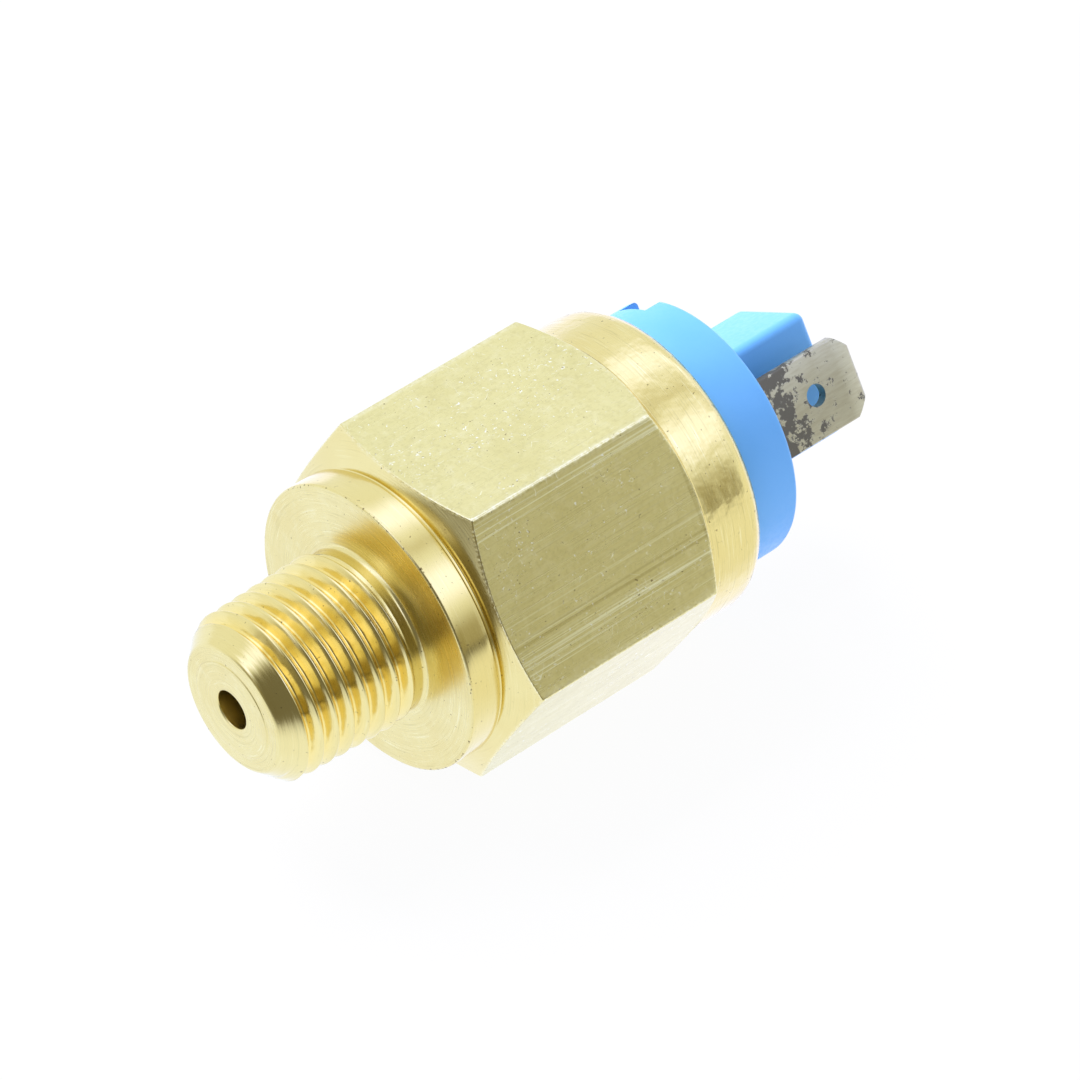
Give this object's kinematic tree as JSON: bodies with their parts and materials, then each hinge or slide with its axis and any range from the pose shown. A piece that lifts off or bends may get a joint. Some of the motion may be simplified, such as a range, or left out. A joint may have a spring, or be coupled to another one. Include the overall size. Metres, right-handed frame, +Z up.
{
  "type": "pressure switch",
  "caption": "Brass hexagon pressure switch with a threaded pressure port, a plastic terminal cap held by a rolled crimp, and flat spade terminals beside an adjuster block.",
  "frame": {"origin": "on the switch axis, at the seat face where the thread meets the collar", "axes": "+X along the switch axis from the port to the terminals, +Z up with the switch lying on one flat of its hexagon"},
  "size_m": [0.0533, 0.0278, 0.024],
  "materials": {
    "brass": "machined, slightly tarnished",
    "blue_plastic": "moulded satin",
    "tab_metal": "tinned, with dark tarnish",
    "rubber": "matt",
    "steel": "plated",
    "ivory_plastic": "moulded",
    "silver": "bright contact silver"
  },
  "bodies": {
    "housing": {"body": "brass", "terminal_cap": "blue_plastic", "terminal_tab_near": "tab_metal", "terminal_tab_far": "tab_metal", "fixed_contact_near": "silver", "fixed_contact_far": "silver", "diaphragm": "rubber", "diaphragm_clamp_ring": "steel", "spacer_sleeve": "ivory_plastic", "cap_seal_ring": "rubber", "adjuster_bush": "brass", "main_spring": "steel"},
    "plunger": {"plunger": "ivory_plastic", "plunger_plate": "steel", "lower_spring_seat": "steel", "contact_bridge": "brass", "bridge_retainer": "steel", "moving_contact_near": "silver", "moving_contact_far": "silver"},
    "spring_seat": {"upper_spring_seat": "steel"},
    "adjuster": {"adjusting_screw": "brass"}
  },
  "joints": [
    {"name": "plunger_slide", "type": "slide", "parent": "housing", "child": "plunger", "axis": [1, 0, 0], "range_m": [0, 0.0007], "stiffness_N_per_m": 400, "springref_m": -0.003, "deforming": ["main_spring"]},
    {"name": "adjuster_advance", "type": "slide", "parent": "housing", "child": "spring_seat", "axis": [1, 0, 0], "range_m": [-0.0021, 0.0007], "deforming": ["main_spring"]},
    {"name": "adjuster_turn", "type": "hinge", "parent": "spring_seat", "child": "adjuster", "pos_m": [0.0345, 0, 0], "axis": [1, 0, 0], "range_deg": [-1081, 361]}
  ],
  "couplings": [
    {"joint": "adjuster_turn", "follows": "adjuster_advance", "rad_per_m": 8976}
  ]
}
